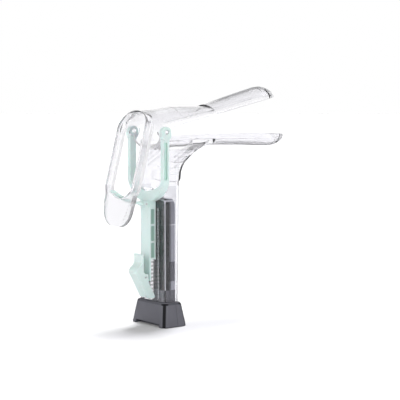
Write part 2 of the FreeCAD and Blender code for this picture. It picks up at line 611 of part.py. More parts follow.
def yoke_slide():
    body = sub_part("yoke_slide")
    middle = "-yoke_front - arm_depth / 2"
    springing = "(pivot_height - bow_inner - bow_height)"
    outline = sketch_on(body, "yoke_outline", "YZ_Plane", middle)
    arch(outline, "arm_gap / 2 + arm_width", "pivot_height - bow_outer", springing, "bow_height",
         "pivot_height", -1)
    pad(body, "yoke_plate", outline, "arm_depth", both_ways=True)
    stem = sketch_on(body, "stem_plan", "XY_Plane", "cheek_bottom")
    polygon(stem, [(f"-{STEM_REAR}", "-stem_width / 2"), ("-yoke_front", "-stem_width / 2"),
                   ("-yoke_front", "stem_width / 2"), (f"-{STEM_REAR}", "stem_width / 2")])
    pad(body, "stem", stem, "bow_outer + 0.6 * bow_height - cheek_bottom")
    back = sketch_on(body, "stem_back_plan", "XY_Plane", "stem_bottom")
    polygon(back, [(f"-{STEM_REAR}", "-stem_width / 2"), (f"-{STEM_REAR} + stem_wall", "-stem_width / 2"),
                   (f"-{STEM_REAR} + stem_wall", "stem_width / 2"), (f"-{STEM_REAR}", "stem_width / 2")])
    pad(body, "stem_back", back, "cheek_bottom - stem_bottom + over")
    gap = sketch_on(body, "arm_gap_outline", "YZ_Plane", middle)
    arch(gap, "arm_gap / 2", "pivot_height - bow_inner + eye_width", f"{springing} + eye_width",
         "0.6 * bow_height", "pivot_height + eye_width", -1)
    pocket(body, "arm_space", gap, "3 * arm_depth", both_ways=True)
    for side in (-1, 1):
        inside = f"{-side} * arm_gap / 2"
        outside = f"{-side} * (arm_gap / 2 + arm_width)"
        eye = sketch_on(body, f"eye_outline_{side + 1}", "XZ_Plane", inside)
        rounded_box(eye, "-pivot_back - eye_width / 2", "-pivot_back + eye_width / 2",
                    "pivot_height - boss_drop",
                    "pivot_height + eye_width / 2", "0.49 * eye_width")
        pad(body, f"eye_{side + 1}", eye, "arm_width + boss_proud", back=side > 0)
        groove = sketch_on(body, f"groove_outline_{side + 1}", "XZ_Plane", outside)
        behind = f"{middle} - 0.1 * arm_depth"
        rounded_box(groove, f"{behind} - groove_width / 2", f"{behind} + groove_width / 2",
                    "bow_inner + bow_height", "pivot_height - boss_drop - over", "0.3 * groove_width")
        pocket(body, f"groove_{side + 1}", groove, "groove_depth", back=side > 0)
    # the slot for the rail is the rail's T with the running gap all round
    slot = sketch_on(body, "rail_slot_plan", "XY_Plane", "stem_bottom - over")
    deep = "(-handle_rear - rail_reach - slide_gap)"
    lip = "(-handle_rear - rail_reach + rail_head + slide_gap)"
    head, waist = "(rail_width / 2 + slide_gap)", "(rail_waist / 2 + slide_gap)"
    polygon(slot, [(deep, f"-{head}"), (lip, f"-{head}"), (lip, f"-{waist}"),
                   ("-yoke_front + over", f"-{waist}"),
                   ("-yoke_front + over", waist), (lip, waist), (lip, head), (deep, head)])
    pocket(body, "rail_slot", slot, "pivot_height - stem_bottom", back=True)
    # windows through the cheeks, with a bar left between each two
    window = sketch_on(body, "cheek_window_outline", "XZ_Plane")
    rounded_box(window, f"-{STEM_REAR} + stem_wall", "-yoke_front - cheek_lip", "cheek_bottom + cheek_bar",
                "cheek_bottom + cheek_window", "0.4 * cheek_bar")
    first = pocket(body, "cheek_windows", window, "2 * stem_width", both_ways=True)
    doc.recompute()
    ladder = body.newObject("PartDesign::LinearPattern", "window_ladder")
    ladder.Originals = [first]
    ladder.Direction = (origin_feature(body, "Z_Axis"), [""])
    ladder.Mode = "Spacing"
    ladder.setExpression("Offset", bound("cheek_window"))
    ladder.Occurrences = 3
    body.Tip = ladder
    # lug for the trigger's pin, and two lugs for the strap's pin
    lug(body, "trigger_lug", "0", "lug_width * 2", "-trigger_pivot_back", "trigger_pivot_height", True)
    for side in (-1, 1):
        place = f"{-side} * (strap_width / 2 + slide_gap)"
        lug(body, f"strap_lug_{side + 1}", place, "lug_width", ROOT_X, ROOT_Z, False, side > 0)
    bore = sketch_on(body, "bores", "XZ_Plane")
    circle(bore, "-trigger_pivot_back", "trigger_pivot_height", "pin_width / 2")
    circle(bore, ROOT_X, ROOT_Z, "pin_width / 2")
    pocket(body, "pin_bores", bore, "2 * stem_width", both_ways=True)
    eyes = sketch_on(body, "eye_bores_outline", "XZ_Plane")
    circle(eyes, "-pivot_back", "pivot_height", "trunnion_width / 2 + pin_gap")
    body.Tip = pocket(body, "eye_bores", eyes, "arm_gap + 4 * arm_width", both_ways=True)
    return body


def lug(body, name, place, width, x, z, both_ways, back=False):
    """A lug with a round end, standing on the stem's rear face."""
    neck = sketch_on(body, f"{name}_neck_outline", "XZ_Plane", place)
    face = f"-{STEM_REAR} + root"
    low, high = f"{z} - lug_radius", f"{z} + lug_radius"
    polygon(neck, [(face, low), (face, high), (x, high), (x, low)])
    pad(body, f"{name}_neck", neck, width, both_ways=both_ways, back=back)
    end = sketch_on(body, f"{name}_end_outline", "XZ_Plane", place)
    circle(end, x, z, "lug_radius")
    pad(body, f"{name}_end", end, width, both_ways=both_ways, back=back)


def tilt_ratchet():
    body = sub_part("tilt_ratchet", "-pivot_back", "pivot_height")
    inner, outer = "(strap_radius - strap_thickness / 2)", "(strap_radius + strap_thickness / 2)"
    strap = sketch_on(body, "strap_outline", "XZ_Plane")
    ends = ("strap_root", "strap_end")
    normal, centre = FreeCAD.Vector(0, 0, 1), FreeCAD.Vector(0, 0, 0)
    for radius in (inner, outer):
        start, end = (math.radians(270 - value(angle)) for angle in reversed(ends))
        ring = Part.Circle(centre, normal, value(radius))
        arc = strap.addGeometry(Part.ArcOfCircle(ring, start, end), False)
        strap.addConstraint(Sketcher.Constraint("Coincident", arc, 3, -1, 1))
        hold(strap, "Radius", (arc,), radius)
        hold(strap, "DistanceX", (-1, 1, arc, 1), f"-{radius} * sin(strap_end)")
        hold(strap, "DistanceX", (-1, 1, arc, 2), f"-{radius} * sin(strap_root)")
    for end, angle in ((2, "strap_root"), (1, "strap_end")):
        low, high = (FreeCAD.Vector(-value(f"{radius} * sin({angle})"), -value(f"{radius} * cos({angle})"),
                                    0)
                     for radius in (inner, outer))
        edge = strap.addGeometry(Part.LineSegment(low, high), False)
        strap.addConstraint(Sketcher.Constraint("Coincident", edge, 1, 0, end))
        strap.addConstraint(Sketcher.Constraint("Coincident", edge, 2, 1, end))
    pad(body, "strap", strap, "strap_width", both_ways=True)
    root = sketch_on(body, "root_outline", "XZ_Plane")
    circle(root, "-strap_radius * sin(strap_root)", "-strap_radius * cos(strap_root)", "lug_radius")
    pad(body, "root", root, "strap_width", both_ways=True)
    bore = sketch_on(body, "root_bore_outline", "XZ_Plane")
    circle(bore, "-strap_radius * sin(strap_root)", "-strap_radius * cos(strap_root)",
           "pin_width / 2 + pin_gap")
    pocket(body, "root_bore", bore, "2 * strap_width", both_ways=True)
    step = "(strap_pitch / strap_radius * 180 / pi)"
    start = "(strap_root + strap_plain)"
    notch = sketch_on(body, "notch_outline", "XZ_Plane")
    inset = f"({outer} - strap_tooth)"
    clear, finish = f"({outer} + over)", f"({start} + 0.9 * {step})"
    polygon(notch, [(f"-{clear} * sin({start})", f"-{clear} * cos({start})"),
                    (f"-{inset} * sin({start})", f"-{inset} * cos({start})"),
                    (f"-{clear} * sin({finish})", f"-{clear} * cos({finish})")])
    cut = pocket(body, "notch", notch, "2 * strap_width", both_ways=True)
    doc.recompute()
    teeth = body.newObject("PartDesign::PolarPattern", "notches")
    teeth.Originals = [cut]
    teeth.Axis = (origin_feature(body, "Y_Axis"), [""])
    teeth.Mode = "Spacing"
    teeth.setExpression("Offset", bound(step))
    teeth.setExpression("Occurrences", bound(f"floor((strap_end - strap_root - 1.1 * strap_plain) / {step})"))
    body.Tip = teeth
    return body


def release_trigger():
    body = sub_part("release_trigger")
    face = f"(-{STEM_REAR} - trigger_gap)"
    rear = f"({face} - trigger_plate)"
    toe, heel = "(-handle_rear - 1.1)", "(-handle_rear - 9)"
    side = sketch_on(body, "trigger_outline", "XZ_Plane")
    corners = []
    # each corner is a base point with its step back and its step up
    for x, z, back_step, up_step in (
            (rear, "trigger_top", "-0.5", "0"), (face, "trigger_top", "0", "0"),
            (face, "trigger_pivot_height", "0", "4.6"), (face, "trigger_pivot_height", "-1.2", "3"),
            (f"-{STEM_REAR}", "trigger_pivot_height", "1.3", "2.2"),
            (f"-{STEM_REAR}", "stem_bottom", "1.1", "-1"),
            (toe, "trigger_bottom", "0", "1.7"), (toe, "trigger_bottom", "0.3", "0.5"),
            (toe, "trigger_bottom", "1.2", "0"), (heel, "trigger_bottom", "-2.7", "0"),
            (heel, "trigger_bottom", "-1.1", "0.7"), (heel, "trigger_bottom", "0.1", "2.4"),
            ("-trigger_nose", "trigger_nose_height", "-1.6", "-3.4"),
            ("-trigger_nose", "trigger_nose_height", "-0.4", "-1.5"),
            ("-trigger_nose", "trigger_nose_height", "0", "0"),
            ("-trigger_nose", "trigger_nose_height", "-0.4", "1.4"),
            ("-trigger_nose", "trigger_nose_height", "-1.5", "2.9"),
            (rear, "trigger_nose_height", "1.3", "5.4"),
            (rear, "trigger_nose_height", "0.3", "7"), (rear, "trigger_nose_height", "0", "8.6"),
            (rear, "trigger_top", "0", "-0.6")):
        corners.append((f"{x} - ({back_step})", f"{z} + ({up_step})"))
    polygon(side, corners)
    pad(body, "trigger_plate", side, "trigger_width", both_ways=True)
    # the cheeks pass either side of the rail, and the pawl stands between them
    web = f"(-{STEM_REAR})"
    pawl = "trigger_bottom + tooth_pitch"
    tooth = "(-handle_rear - rail_reach - seat_gap)"
    space = sketch_on(body, "rail_space_outline", "XZ_Plane")
    polygon(space, [(web, "trigger_pivot_height"), (web, f"{pawl} + 1.6"), (tooth, pawl),
                    (web, f"{pawl} - 0.9"),
                    (web, "trigger_bottom - over"), ("-handle_rear + over", "trigger_bottom - over"),
                    ("-handle_rear + over", "trigger_pivot_height")])
    pocket(body, "rail_space", space, "rail_width + 2 * slide_gap", both_ways=True)
    # the body behind the pin is hollow, open above, and the lug stands in it
    slot = sketch_on(body, "lug_slot_outline", "XZ_Plane")
    below, above = "trigger_pivot_height - 1.45 * lug_radius", "trigger_pivot_height + trigger_gap"
    polygon(slot, [(f"{face} - root", below), (f"-{STEM_REAR} + over", below),
                   (f"-{STEM_REAR} + over", above),
                   (face, above)])
    pocket(body, "lug_slot", slot, "lug_width * 2 + 2 * slide_gap", both_ways=True)
    bore = sketch_on(body, "pin_bore_outline", "XZ_Plane")
    circle(bore, "-trigger_pivot_back", "trigger_pivot_height", "pin_width / 2 + pin_gap")
    body.Tip = pocket(body, "pin_bore", bore, "2 * trigger_width", both_ways=True)
    return body


def cross_pin(label, x, z, length):
    """A plain pin across the part."""
    pin = doc.addObject("Part::Cylinder", label)
    pin.Label = label
    pin.Placement = FreeCAD.Placement(FreeCAD.Vector(), FreeCAD.Rotation(FreeCAD.Vector(1, 0, 0), 90))
    pin.setExpression("Radius", bound("pin_width / 2"))
    pin.setExpression("Height", bound(length))
    pin.setExpression("Placement.Base.x", bound(x))
    pin.setExpression("Placement.Base.y", bound(f"({length}) / 2"))
    pin.setExpression("Placement.Base.z", bound(z))
    return pin


def box(label, x, y, z, depth, width, height):
    """A plain block, placed by its low corner."""
    block = doc.addObject("Part::Box", label)
    block.Label = label
    for name, size in (("Length", depth), ("Width", width), ("Height", height)):
        block.setExpression(name, bound(size))
    for name, place in (("x", x), ("y", y), ("z", z)):
        block.setExpression("Placement.Base." + name, bound(place))
    return block


def cylinder(label, x, y, z, radius, height):
    drum = doc.addObject("Part::Cylinder", label)
    drum.Label = label
    drum.setExpression("Radius", bound(radius))
    drum.setExpression("Height", bound(height))
    for name, place in (("x", x), ("y", y), ("z", z)):
        drum.setExpression("Placement.Base." + name, bound(place))
    return drum


def fused(label, pieces):
    whole = doc.addObject("Part::MultiFuse", label)
    whole.Label = label
    whole.Shapes = pieces
    return whole


CELL_SPACE = "(cell_width / 2 + cell_gap)"
CELLS_WIDE = "(3 * cell_width + 4 * cell_gap)"
FOOT_FRONT = "(foot_top_depth / 2 - 0.55 * shell)"
SKIRT_REAR = f"({FOOT_FRONT} - seat_gap - button_skirt)"


def housing_half(label, side):
    """One half of the foot and tower; side is -1 for the rear half and 1 for the front half."""
    body = sub_part(label)
    sections = []
    levels = (("sole", "0", "0.6 * sole_edge"), ("welt", "0.35 * sole_edge", "0.15 * sole_edge"),
              ("skirt", "sole_edge", "0"),
              ("shoulder", "foot_height - foot_edge", "0"),
              ("brow", "foot_height - 0.3 * foot_edge", "0.25 * foot_edge"),
              ("top", "foot_height", "0.8 * foot_edge"))
    for name, z, shrink in levels:
        depth = f"foot_depth / 2 + ({z}) / foot_height * (foot_top_depth - foot_depth) / 2 - {shrink}"
        width = f"foot_length / 2 + ({z}) / foot_height * (foot_top_length - foot_length) / 2 - {shrink}"
        sketch = sketch_on(body, f"foot_{name}", "XY_Plane", z)
        rounded_box(sketch, f"-({depth})", depth, f"-({width})", width, "foot_corner")
        sections.append(sketch)
    loft(body, "AdditiveLoft", "foot", sections)
    tower = sketch_on(body, "tower_plan", "XY_Plane", "foot_height - over")
    rounded_box(tower, "-tower_rear", "tower_front", "-tower_width / 2", "tower_width / 2", "tower_corner")
    pad(body, "tower", tower, "cap_joint - foot_height + over")
    # feet: the underside is relieved between them at the rear and the front
    for end in (-1, 1):
        relief = sketch_on(body, f"relief_plan_{end + 1}", "XY_Plane", "-over")
        near, far = f"{end} * (foot_depth / 2 - pad_reach)", f"{end} * (foot_depth / 2 + over)"
        polygon(relief, [(near, "-foot_length / 2 + pad_length"), (far, "-foot_length / 2 + pad_length"),
                         (far, "foot_length / 2 - pad_length"), (near, "foot_length / 2 - pad_length")])
        pocket(body, f"relief_{end + 1}", relief, "pad_height + over", back=True)
    plate = sketch_on(body, "plate_recess_plan", "XY_Plane", "-over")
    rounded_box(plate, "-plate_depth / 2", "plate_depth / 2", "-foot_length / 2 + pad_length",
                "foot_length / 2 - pad_length", "plate_corner")
    pocket(body, "plate_recess", plate, "plate_thickness + over", back=True)
    inside = sketch_on(body, "foot_hollow_plan", "XY_Plane", "pad_height + shell")
    rounded_box(inside, f"-{FOOT_FRONT}", FOOT_FRONT, "-foot_top_length / 2 + shell",
                "foot_top_length / 2 - shell",
                "shell")
    pocket(body, "foot_hollow", inside, "foot_height - pad_height - 2.6 * shell", back=True)
    cells = sketch_on(body, "cell_space_plan", "XY_Plane", "foot_height - 2 * shell")
    rounded_box(cells, f"-{CELL_SPACE}", CELL_SPACE, f"-{CELLS_WIDE} / 2", f"{CELLS_WIDE} / 2",
                "0.5 * shell")
    pocket(body, "cell_space", cells, "cap_joint", back=True)
    if side > 0:
        hole = sketch_on(body, "button_hole_outline", "YZ_Plane", "0")
        circle(hole, "0", "button_height", "button_width / 2 + seat_gap")
        pocket(body, "button_hole", hole, "foot_depth", back=True)
    # take the other half away, once for the foot and once for the tower
    for name, parting, low, high in (("foot", "foot_parting", "-over", "foot_height"),
                                     ("tower", "tower_parting", "foot_height", "cap_joint + over")):
        split = sketch_on(body, f"{name}_split_plan", "XY_Plane", low)
        face = f"{parting} + {side} * seam / 2"
        far = f"{-side} * foot_depth"
        polygon(split, [(face, "-foot_length"), (far, "-foot_length"), (far, "foot_length"),
                        (face, "foot_length")])
        body.Tip = pocket(body, f"{name}_split", split, f"({high}) - ({low})", back=True)
    return body


def head_cap():
    body = sub_part("head_cap")
    front = sketch_on(body, "cap_outline", "YZ_Plane", "-tower_rear")
    rounded_box(front, "-tower_width / 2", "tower_width / 2", "cap_joint - 2 * cap_round", "tower_top",
                "cap_round")
    block = pad(body, "cap_block", front, "tower_rear + tower_front")
    doc.recompute()
    rims = []
    for index, edge in enumerate(block.Shape.Edges, 1):
        if edge.BoundBox.XLength < value("seam") / 10:
            rims.append(f"Edge{index}")
    edges = body.newObject("PartDesign::Fillet", "cap_edges")
    edges.Base = (block, rims)
    edges.setExpression("Radius", bound("min(tower_corner; 0.4 * tower_front)"))
    below = sketch_on(body, "cap_foot_plan", "XY_Plane", "cap_joint + seam / 2")
    polygon(below, [("-2 * tower_rear", "-tower_width"), ("2 * tower_front", "-tower_width"),
                    ("2 * tower_front", "tower_width"), ("-2 * tower_rear", "tower_width")])
    pocket(body, "cap_foot", below, "4 * cap_round")
    hollow = sketch_on(body, "cap_hollow_plan", "XY_Plane", "cap_joint")
    rounded_box(hollow, f"-{CELL_SPACE}", CELL_SPACE, f"-{CELLS_WIDE} / 2", f"{CELLS_WIDE} / 2",
                "0.5 * shell")
    pocket(body, "cap_hollow", hollow, "tower_top - cap_joint - head_roof", back=True)
    hole = sketch_on(body, "lens_hole_plan", "XY_Plane", "cap_joint")
    circle(hole, "0", "0", "lens_width / 2 + pin_gap")
    body.Tip = pocket(body, "lens_hole", hole, "tower_top", back=True)
    return body


def foot_plate():
    body = sub_part("foot_plate")
    plan = sketch_on(body, "plate_plan", "XY_Plane", "0")
    rounded_box(plan, "-plate_depth / 2 + seat_gap", "plate_depth / 2 - seat_gap",
                "-foot_length / 2 + pad_length + seat_gap", "foot_length / 2 - pad_length - seat_gap",
                "plate_corner - seat_gap")
    body.Tip = pad(body, "plate", plan, "plate_thickness")
    return body


def power_button():
    body = sub_part("power_button")
    skirt = sketch_on(body, "skirt_outline", "YZ_Plane", SKIRT_REAR)
    circle(skirt, "0", "button_height", "button_width / 2 + button_skirt")
    pad(body, "skirt", skirt, "button_skirt")
    cap = sketch_on(body, "button_outline", "YZ_Plane", SKIRT_REAR)
    circle(cap, "0", "button_height", "button_width / 2")
    face = "(foot_depth / 2 - button_height / foot_height * (foot_depth - foot_top_depth) / 2)"
    body.Tip = pad(body, "button", cap, f"{face} + button_proud - {SKIRT_REAR}")
    return body


def lamp_and_cells():
    """The cells with their contacts, the lamp above them and the switch in the foot."""
    pieces = []
    top = "(cell_bottom + cell_length)"
    rear, inset = f"(-{CELL_SPACE} + contact_leaf)", f"(-{CELLS_WIDE} / 2 + contact_leaf)"
    depth, width = f"-2 * {rear}", f"-2 * {inset}"
    columns = [f"{column} * (cell_width + cell_gap)" for column in (1, 0, -1)]
    for name, y in zip(("left", "middle", "right"), columns):
        can = cylinder(f"cell_can_{name}", "0", y, "cell_bottom", "cell_width / 2",
                       "cell_length - 0.8 * cell_nub")
        nub = cylinder(f"cell_nub_{name}", "0", y, f"{top} - cell_nub", "0.17 * cell_width", "cell_nub")
        pieces.append(fused(f"battery_{name}", [can, nub]))
    pieces.append(box("top_contact", rear, inset, top, depth, width, "contact_leaf"))
    low = "cell_bottom - contact_post"
    strip = box("contact_strip", rear, inset, low, depth, width, "contact_leaf")
    posts = [cylinder(f"contact_post_{index}", "0", y, low, "0.2 * cell_width", "contact_post")
             for index, y in enumerate(columns)]
    pieces.append(fused("bottom_contact", [strip] + posts))
    roof = "(tower_top - head_roof)"
    board = f"({roof} - emitter_height - seat_gap)"
    pieces.append(box("led_board", rear, inset, f"{board} - board_thickness", depth, width,
                      "board_thickness"))
    pieces.append(box("led_emitter", "-emitter_width / 2", "-emitter_width / 2", board,
                      "emitter_width", "emitter_width", "emitter_height"))
    barrel = cylinder("lens_barrel", "0", "0", roof, "lens_width / 2", "0.9 * head_roof")
    flange = cylinder("lens_seat", "0", "0", f"{roof} - 0.2 * lens_flange", "lens_width / 2", "lens_flange")
    pieces.append(fused("led_lens", [barrel, flange]))
    board_low = "(pad_height + shell)"
    switch_front = f"({SKIRT_REAR} - button_travel - 0.5 * seat_gap)"
    pieces.append(box("circuit_board", f"-{FOOT_FRONT} + seat_gap", "-board_width / 2", board_low,
                      f"{FOOT_FRONT} + {SKIRT_REAR} - 2 * seat_gap - button_travel", "board_width",
                      "board_thickness"))
    pieces.append(box("tact_switch", f"{switch_front} - switch_depth", "-switch_width / 2",
                      f"{board_low} + board_thickness", "switch_depth", "switch_width",
                      f"button_height + switch_width / 3 - {board_low} - board_thickness"))
    return pieces


SUB_PARTS = [
    lower_blade(), upper_blade(), yoke_slide(), tilt_ratchet(), release_trigger(),
    cross_pin("tilt_ratchet_pin", ROOT_X, ROOT_Z, "strap_width + 2 * slide_gap + 2 * lug_width"),
    cross_pin("trigger_pin", "-trigger_pivot_back", "trigger_pivot_height", "trigger_width - 0.6"),
    housing_half("housing_rear", -1), housing_half("housing_front", 1), head_cap(), foot_plate(),
    power_button(),
] + lamp_and_cells()
doc.recompute()
for thing in doc.Objects:
    if "Invalid" in thing.State or "Error" in thing.State:
        raise SystemExit(f"{thing.Name} failed: {thing.State}")
os.makedirs("parts", exist_ok=True)
for body in SUB_PARTS:
    shape = body.Shape
    if shape.isNull() or not shape.isValid():
        raise SystemExit(f"{body.Label} has no valid shape")
    shape.exportStep(f"parts/{body.Label}.step")
    print(body.Label, len(shape.Solids), "solids", round(shape.Volume), shape.BoundBox)
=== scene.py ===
# Bivalve speculum on its lamp foot, dressed for a pale studio view.
import math

import bpy
from mathutils import Matrix, Vector


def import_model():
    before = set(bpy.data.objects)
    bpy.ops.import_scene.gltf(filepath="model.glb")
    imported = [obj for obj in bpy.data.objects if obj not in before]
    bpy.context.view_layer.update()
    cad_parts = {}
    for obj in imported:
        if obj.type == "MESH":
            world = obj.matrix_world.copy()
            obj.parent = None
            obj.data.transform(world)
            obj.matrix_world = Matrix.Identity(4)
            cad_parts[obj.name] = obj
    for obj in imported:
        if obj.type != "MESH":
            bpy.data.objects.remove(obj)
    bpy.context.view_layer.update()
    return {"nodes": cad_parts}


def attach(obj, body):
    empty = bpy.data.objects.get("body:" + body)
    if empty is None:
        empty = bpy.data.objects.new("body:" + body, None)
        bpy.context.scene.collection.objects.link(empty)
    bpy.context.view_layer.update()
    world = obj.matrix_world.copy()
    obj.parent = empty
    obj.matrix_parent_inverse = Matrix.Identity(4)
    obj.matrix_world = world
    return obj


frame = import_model()
nodes = frame["nodes"]
print("frame loaded:", len(nodes), "nodes")

camera = {
    "place": (-0.6391, -0.8890, 0.1993),
    "aim": (0.6070, 0.7901, -0.0857),       # direction of view
    "lens": 117.3,
    "sensor": 36.0,
    "nearest": 0.01,
    "furthest": 30,
}

studio = {
    "floorReach": 9.0,
    "floorColour": (0.45, 0.45, 0.455, 1),
    "floorTooth": 900.0,
    "floorRelief": 0.0004,
    "floorGlow": 0.05,      # what the paper adds where the camera or clear plastic sees it
    "floorInGloss": (0.15, 0.15, 0.155, 1),     # dark cards stand where the plastic would mirror the paper
    "veil": 0.10,           # share of those cards that also shows through clear plastic
    "roomThrough": ((0.0, 1.0), (0.57, 1.0), (0.70, 0.76), (1.0, 0.55)),    # from the floor up to overhead
    "roomGloss": 0.22,
    "fill": 0.44,
}

# far, wide lamps: a lamp's level is what a white face turned to it gets
lamps = {
    "overheadSoft": {"from": (0.10, -0.05, 1.0), "spread": 22.0, "level": 0.16},
    "leftSoft": {"from": (-1.0, 0.10, 0.45), "spread": 50.0, "level": 0.325},
    "frontSoft": {"from": (-0.2, -1.0, 0.35), "spread": 60.0, "level": 0.38},
    "backSoft": {"from": (0.8, 0.6, 0.45), "spread": 60.0, "level": 0.26},
    "shadowOnPaper": {"from": (0.62, 0.42, 2.1), "spread": 16.0, "level": 2.10, "floorOnly": True},
}

nodeGrid = (260, 240)       # column and row step in the shader editor


def emptyTree(owner):
    owner.use_nodes = True
    owner.node_tree.nodes.clear()
    return owner.node_tree


def feed(tree, socket, value):
    # another node's output is linked to the socket, anything else is set on it
    if isinstance(value, bpy.types.NodeSocket):
        tree.links.new(value, socket)
    else:
        socket.default_value = value


def addNode(tree, kind, **inputs):
    node = tree.nodes.new(kind)
    for name, value in inputs.items():
        feed(tree, node.inputs[name.replace("_", " ")], value)
    return node


def mathNode(tree, operation, *parts, clamp=False):
    node = addNode(tree, "ShaderNodeMath")
    node.operation = operation
    node.use_clamp = clamp
    for socket, part in zip(node.inputs, parts):
        feed(tree, socket, part)
    return node.outputs[0]


def rangeNode(tree, source, span, result=(0.0, 1.0), smooth=False):
    # turns a stretch of a value into a share
    node = addNode(tree, "ShaderNodeMapRange", Value=source, From_Min=span[0], From_Max=span[1],
                   To_Min=result[0], To_Max=result[1])
    if smooth:
        node.interpolation_type = "SMOOTHSTEP"
    return node.outputs["Result"]


def noiseNode(tree, place, **inputs):
    return addNode(tree, "ShaderNodeTexNoise", Vector=place, **inputs).outputs["Fac"]


def blendColour(tree, below, above, mask, blend="MIX"):
    # lays a colour over another one through a mask
    node = addNode(tree, "ShaderNodeMix")
    node.data_type = "RGBA"
    node.blend_type = blend
    feed(tree, node.inputs["Factor"], mask)
    first, second = [socket for socket in node.inputs if socket.type == "RGBA"]
    feed(tree, first, below)
    feed(tree, second, above)
    return next(socket for socket in node.outputs if socket.type == "RGBA")


def mixShaders(tree, share, first, second):
    node = addNode(tree, "ShaderNodeMixShader")
    for socket, part in zip(node.inputs, (share, first, second)):
        feed(tree, socket, part)
    return node.outputs[0]


def arrange(tree):
    # sets the nodes out in columns that run back from the output
    column = {node.name: 0 for node in tree.nodes}
    moved = True
    while moved:
        moved = False
        for link in tree.links:
            further = column[link.to_node.name] + 1
            if column[link.from_node.name] < further:
                column[link.from_node.name] = further
                moved = True
    rows = {}
    for node in tree.nodes:
        back = column[node.name]
        rows[back] = rows.get(back, 0) + 1
        node.location = (-back * nodeGrid[0], -rows[back] * nodeGrid[1])


def grey(level):
    return (level, level, level, 1)


def makeCamera(values):
    data = bpy.data.cameras.new("photoCamera")
    data.lens = values["lens"]
    data.sensor_width = values["sensor"]
    data.clip_start = values["nearest"]
    data.clip_end = values["furthest"]
    view = bpy.data.objects.new("photoCamera", data)
    view.location = values["place"]
    view.rotation_euler = Vector(values["aim"]).to_track_quat("-Z", "Y").to_euler()
    bpy.context.scene.collection.objects.link(view)
    bpy.context.scene.camera = view


def background(tree, colour, strength):
    return addNode(tree, "ShaderNodeBackground", Color=colour, Strength=strength).outputs[0]


def makeWorld(values):
    world = bpy.data.worlds.new("paleStudio")
    bpy.context.scene.world = world
    tree = emptyTree(world)
    place = addNode(tree, "ShaderNodeTexCoord").outputs["Generated"]
    height = addNode(tree, "ShaderNodeSeparateXYZ", Vector=place).outputs["Z"]
    band = addNode(tree, "ShaderNodeValToRGB", Fac=mathNode(tree, "MULTIPLY_ADD", height, 0.5, 0.5))
    stops = band.color_ramp.elements
    stops.remove(stops[-1])
    for index, (position, level) in enumerate(values["roomThrough"]):
        stop = stops[0] if index == 0 else stops.new(position)
        stop.position = position
        stop.color = grey(level)
    room = band.outputs["Color"]
    path = addNode(tree, "ShaderNodeLightPath").outputs
    lit = mixShaders(tree, path["Is Glossy Ray"], background(tree, grey(1), values["fill"]),
                     background(tree, room, values["roomGloss"]))
    through = mixShaders(tree, path["Is Transmission Ray"], lit, background(tree, room, 1.0))
    seen = mixShaders(tree, path["Is Camera Ray"], through, background(tree, grey(1), 1.0))
    addNode(tree, "ShaderNodeOutputWorld", Surface=seen)
    arrange(tree)


def makeFloor(values):
    bpy.ops.object.select_all(action="DESELECT")
    bpy.ops.mesh.primitive_circle_add(vertices=96, radius=values["floorReach"], fill_type="NGON")
    floor = bpy.context.object
    floor.name = "paperFloor"
    paint = bpy.data.materials.new("studioPaper")
    tree = emptyTree(paint)
    place = addNode(tree, "ShaderNodeTexCoord").outputs["Object"]
    tooth = noiseNode(tree, place, Scale=values["floorTooth"], Detail=3.0)
    bump = addNode(tree, "ShaderNodeBump", Strength=0.08, Distance=values["floorRelief"], Height=tooth)
    paper = addNode(tree, "ShaderNodeBsdfDiffuse", Color=values["floorColour"], Roughness=0.4,
                    Normal=bump.outputs["Normal"])
    path = addNode(tree, "ShaderNodeLightPath").outputs
    seen = mathNode(tree, "MAXIMUM", path["Is Camera Ray"], path["Is Transmission Ray"])
    glow = addNode(tree, "ShaderNodeEmission", Color=grey(1),
                   Strength=mathNode(tree, "MULTIPLY", seen, values["floorGlow"]))
    glowing = addNode(tree, "ShaderNodeAddShader")
    feed(tree, glowing.inputs[0], paper.outputs[0])
    feed(tree, glowing.inputs[1], glow.outputs[0])
    card = addNode(tree, "ShaderNodeBsdfDiffuse", Color=values["floorInGloss"])
    # a ray through clear plastic counts as glossy too, so its share is taken back to a light veil
    cardShare = mathNode(tree, "MULTIPLY_ADD", path["Is Transmission Ray"], values["veil"] - 1.0,
                         path["Is Glossy Ray"], clamp=True)
    surface = mixShaders(tree, cardShare, glowing.outputs[0], card.outputs[0])
    addNode(tree, "ShaderNodeOutputMaterial", Surface=surface)
    arrange(tree)
    floor.data.materials.append(paint)
    return floor


def makeLamp(name, values, floor):
    data = bpy.data.lights.new(name, "SUN")
    data.angle = math.radians(values["spread"])
    data.energy = math.pi * values["level"]
    lamp = bpy.data.objects.new(name, data)
    if values.get("floorOnly"):
        paperOnly = bpy.data.collections.new(name)
        paperOnly.objects.link(floor)
        lamp.light_linking.receiver_collection = paperOnly
        lamp.visible_glossy = False
    lamp.visible_transmission = False
    lamp.location = values["from"]
    lamp.rotation_euler = (-Vector(values["from"])).to_track_quat("-Z", "Y").to_euler()
    bpy.context.scene.collection.objects.link(lamp)


bpy.context.scene.view_settings.view_transform = "Standard"
makeCamera(camera)
makeWorld(studio)
paperFloor = makeFloor(studio)
for name, values in lamps.items():
    makeLamp(name, values, paperFloor)
print("studio ready:", len(lamps), "lamps")

numberSocket, colourSocket = "NodeSocketFloat", "NodeSocketColor"


def newGroup(name, inputs, outputs):
    # gives the empty group and the outputs of its input node
    group = bpy.data.node_groups.new(name, "ShaderNodeTree")
    for label, kind, value in inputs:
        socket = group.interface.new_socket(label, in_out="INPUT", socket_type=kind)
        socket.default_value = value
    for label, kind in outputs:
        group.interface.new_socket(label, in_out="OUTPUT", socket_type=kind)
    return group, addNode(group, "NodeGroupInput").outputs


def closeGroup(group, **outputs):
    addNode(group, "NodeGroupOutput", **outputs)
    arrange(group)
    return group


